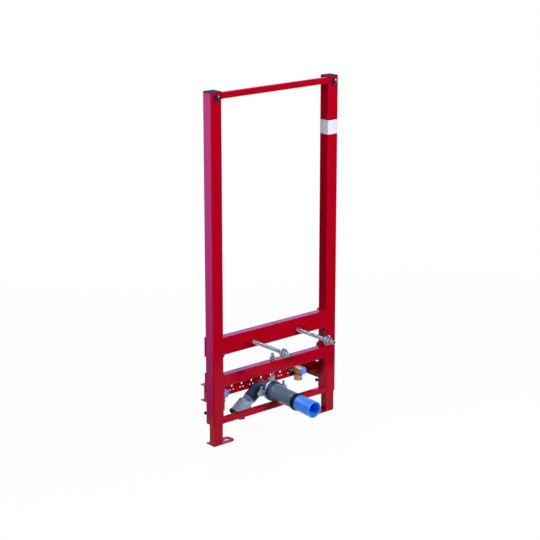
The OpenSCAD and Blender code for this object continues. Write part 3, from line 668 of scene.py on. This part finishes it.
mesh = bmesh.new()
post_low = box_mm("post_right")[0]
arm_low, arm_high, _ = box_mm("plate_arm_right")
for sign in (-1, 1):
    bar_end = sign * box_mm("upper_crossbar")[1].x
    post_inside = sign * post_low.x
    for node in ("upper_crossbar", "lower_crossbar"):
        face_weld(mesh, node, bar_end, box_mm(node)[0].z, BAR_BEAD)
        back_weld(mesh, node, bar_end, BAR_BEAD)
    face_weld(mesh, "lower_crossbar", bar_end, box_mm("lower_crossbar")[1].z, BAR_BEAD)
    face_weld(mesh, "top_bar", post_inside, box_mm("top_bar")[0].z, THIN_BEAD)
    back_weld(mesh, "top_bar", post_inside, THIN_BEAD)
    face_weld(mesh, "bottom_rail", post_inside, box_mm("bottom_rail")[1].z, THIN_BEAD)
    back_weld(mesh, "bottom_rail", post_inside, THIN_BEAD, lowest=post_low.z)
    for x, y in ((arm_high.x, arm_low.y + ARM_FRONT_INSET), (arm_low.x, arm_high.y - ARM_BACK_INSET)):
        ends = (arm_low.z + ARM_LOW_INSET, arm_high.z - ARM_TOP_INSET)
        bead(mesh, [(sign * x, y, z) for z in ends], ARM_BEAD)
piece("weld_beads", mesh, MOVING, "red_paint", RED)

mesh = bmesh.new()
for side in SIDES:
    low, high, _ = box_mm(f"leg_{side}")
    for x in (low.x, high.x):
        ends = (low.y + LEG_FRONT_INSET, high.y - LEG_BACK_INSET)
        bead(mesh, [(x, y, low.z) for y in ends], FOOT_BEAD, FOOT_RIPPLE)
piece("foot_weld_beads", mesh, STANDING, "red_paint", RED)


# Stage

WHITE = (1, 1, 1)
MIDDLE = spot(0, 20, 550)
DRAIN = spot(0, -40, 120)

# The floor glows white by the share GLOW_NEAR up to NEAR metres from the origin, and by GLOW_FAR
# from FAR on. The two FILL colours are what surfaces get as light from the floor and from the sky
FLOOR_COLOUR, FLOOR_ROUGHNESS = (0.95, 0.95, 0.95), 0.9
FLOOR_FILL = (0.022, 0.014, 0.07)
FLOOR_SIZE, FLOOR_DROP = 40, 0.0005
GLOW_NEAR, GLOW_FAR, NEAR, FAR = 0.95, 1.0, 0.8, 2.6
SKY_FILL = (0.08, 0.085, 0.10)

# Sheets that show only in reflections: place, the way they face, width and height in metres, and
# their colours from foot to top
VIOLET_FACES = Vector((-0.62, -0.74, -0.26))
VIOLET_DISTANCE = 3.2
VIOLET = (0.82, 1.00, 2.4)
FLAG = (0.003, 0.003, 0.02)
CARDS = {
    "magenta_card": (spot(-410, 212, 500), (0.64, -0.77, 0), (0.13, 1.1), (0.8, 0.0, 1.2), (3.3, 3.0, 9.0)),
    "violet_card": (MIDDLE - VIOLET_DISTANCE * VIOLET_FACES, VIOLET_FACES, (3.6, 1.6), VIOLET, VIOLET),
    "front_flag": (spot(385, -440, 390), (-0.62, 0.74, 0), (0.75, 1.3), FLAG, FLAG),
    "back_flag": (spot(-379, 743, 353), (0.62, -0.74, 0), (0.55, 1.3), FLAG, FLAG),
}

# Half a sheet before it is scaled, and half the length that its colours run over
SHEET_HALF, COLOURS_HALF = 0.5, 0.55

# Lamps: the point they are turned to, their place from it in metres, width in metres, watts, and
# whether they show in surfaces (True) or light them (False)
COOL = (1.0, 1.05, 1.3)
KEY_WAY, KEY_SIZE = (0.49, -1.84, 0.66), 0.18
LAMPS = {
    "key": (MIDDLE, KEY_WAY, KEY_SIZE, 32, False),
    "spark": (MIDDLE, KEY_WAY, KEY_SIZE, 8, True),
    "glint": (MIDDLE, (3.0, -0.1, 1.0), 1.0, 75, True),
    "back": (MIDDLE, (1.5, 2.6, 0.2), 1.2, 40, False),
    "front": (MIDDLE, (0.3, -2.0, -0.15), 0.5, 9, False),
    "fill": (MIDDLE, (-2.6, -0.55, 1.3), 1.3, 58, False),
    "rim": (DRAIN, (-1.00, 2.50, 1.95), 1.6, 55, True),
}


def emitting(nodes, colour):
    glow = nodes.new("ShaderNodeEmission")
    glow.inputs["Color"].default_value = (*colour, 1)
    return glow.outputs["Emission"]


def mixed(nodes, links, share, first, second):
    mix = nodes.new("ShaderNodeMixShader")
    links.new(share, mix.inputs["Fac"])
    links.new(first, mix.inputs[1])
    links.new(second, mix.inputs[2])
    return mix.outputs["Shader"]


def background_ray(nodes, links):
    """1 for the camera's rays and for those that metal and glass reflect or pass on, 0 for others."""
    ray = nodes.new("ShaderNodeLightPath")
    share = ray.outputs["Is Camera Ray"]
    for kind in ("Is Glossy Ray", "Is Transmission Ray"):
        either = nodes.new("ShaderNodeMath")
        either.operation = "MAXIMUM"
        links.new(share, either.inputs[0])
        links.new(ray.outputs[kind], either.inputs[1])
        share = either.outputs["Value"]
    return share


def staged(name, half, material):
    """Square sheet that isn't part of the object, reaching half to each side of its middle."""
    mesh = bmesh.new()
    bmesh.ops.create_grid(mesh, x_segments=1, y_segments=1, size=half)
    data = bpy.data.meshes.new(name)
    mesh.to_mesh(data)
    mesh.free()
    data.materials.append(material)
    made = bpy.data.objects.new(name, data)
    bpy.context.scene.collection.objects.link(made)
    return made


def floor():
    """White to the camera and in reflections, with a faint shadow of the object. Its white lights
    nothing: surfaces get a dark blue from it."""
    material, nodes, links, shader = shader_tree("white_floor")
    shader.inputs["Base Color"].default_value = (*FLOOR_COLOUR, 1)
    shader.inputs["Roughness"].default_value = FLOOR_ROUGHNESS
    shader.inputs["Specular IOR Level"].default_value = 0.0
    where = nodes.new("ShaderNodeTexCoord")
    distance = nodes.new("ShaderNodeVectorMath")
    distance.operation = "LENGTH"
    links.new(where.outputs["Object"], distance.inputs[0])
    glow = ranged(nodes, links, distance.outputs["Value"], GLOW_NEAR, GLOW_FAR, NEAR, FAR)
    seen = mixed(nodes, links, glow, shader.outputs["BSDF"], emitting(nodes, WHITE))
    both = mixed(nodes, links, background_ray(nodes, links), emitting(nodes, FLOOR_FILL), seen)
    links.new(both, nodes["Material Output"].inputs["Surface"])
    staged("floor", FLOOR_SIZE, material).location = (0, 0, -FLOOR_DROP)


def sky():
    """White to the camera and in reflections. Surfaces get an even faint light from it."""
    world = bpy.data.worlds.new("studio")
    bpy.context.scene.world = world
    world.cycles.sampling_method = "NONE"
    world.use_nodes = True
    nodes, links = world.node_tree.nodes, world.node_tree.links
    nodes.clear()
    sides = []
    for colour in (SKY_FILL, WHITE):
        background = nodes.new("ShaderNodeBackground")
        background.inputs["Color"].default_value = (*colour, 1)
        sides.append(background.outputs["Background"])
    output = nodes.new("ShaderNodeOutputWorld")
    links.new(mixed(nodes, links, background_ray(nodes, links), *sides), output.inputs["Surface"])


def card(name, place, faces, size, low, high):
    """Coloured sheet that faces a way and is seen only in reflections, from low to high colour."""
    material, nodes, links, _ = shader_tree(name)
    where = nodes.new("ShaderNodeTexCoord")
    split = nodes.new("ShaderNodeSeparateXYZ")
    links.new(where.outputs["Object"], split.inputs["Vector"])
    share = ranged(nodes, links, split.outputs["Y"], 0, 1, -COLOURS_HALF, COLOURS_HALF)
    glow = emitting(nodes, low)
    links.new(blended(nodes, links, share, low, high), glow.node.inputs["Color"])
    links.new(glow, nodes["Material Output"].inputs["Surface"])
    sheet = staged(name, SHEET_HALF, material)
    sheet.scale = (*size, 1)
    sheet.location = place
    sheet.rotation_euler = Vector(faces).to_track_quat("Z", "Y").to_euler()
    sheet.visible_camera = False
    sheet.visible_diffuse = False
    sheet.visible_transmission = False
    sheet.visible_shadow = False


def panel(name, aim, way, size, power, mirrored):
    """Soft square lamp turned to a point: it only shows in surfaces, mirrored, or only lights them."""
    light = bpy.data.lights.new(name, "AREA")
    light.size = size
    light.energy = power
    light.color = COOL
    lamp = bpy.data.objects.new(name, light)
    lamp.location = aim + Vector(way)
    lamp.rotation_euler = (-Vector(way)).to_track_quat("-Z", "Y").to_euler()
    lamp.visible_camera = False
    lamp.visible_diffuse = not mirrored
    lamp.visible_glossy = mirrored
    bpy.context.scene.collection.objects.link(lamp)


floor()
sky()
for name, values in CARDS.items():
    card(name, *values)
for name, values in LAMPS.items():
    panel(name, *values)


# Camera

def camera():
    azimuth, pitch = math.radians(CAMERA_AZIMUTH), math.radians(CAMERA_PITCH)
    ahead = Vector((math.sin(azimuth) * math.cos(pitch), math.cos(azimuth) * math.cos(pitch),
                    -math.sin(pitch)))
    data = bpy.data.cameras.new("camera")
    data.lens = CAMERA_LENS
    data.sensor_width = CAMERA_SENSOR
    data.shift_y = CAMERA_SHIFT_Y
    made = bpy.data.objects.new("camera", data)
    made.location = Vector(CAMERA_AIM) - CAMERA_DISTANCE * ahead
    made.rotation_euler = ahead.to_track_quat("-Z", "Y").to_euler()
    bpy.context.scene.collection.objects.link(made)
    bpy.context.scene.camera = made


camera()
bpy.context.scene.view_settings.view_transform = "Standard"
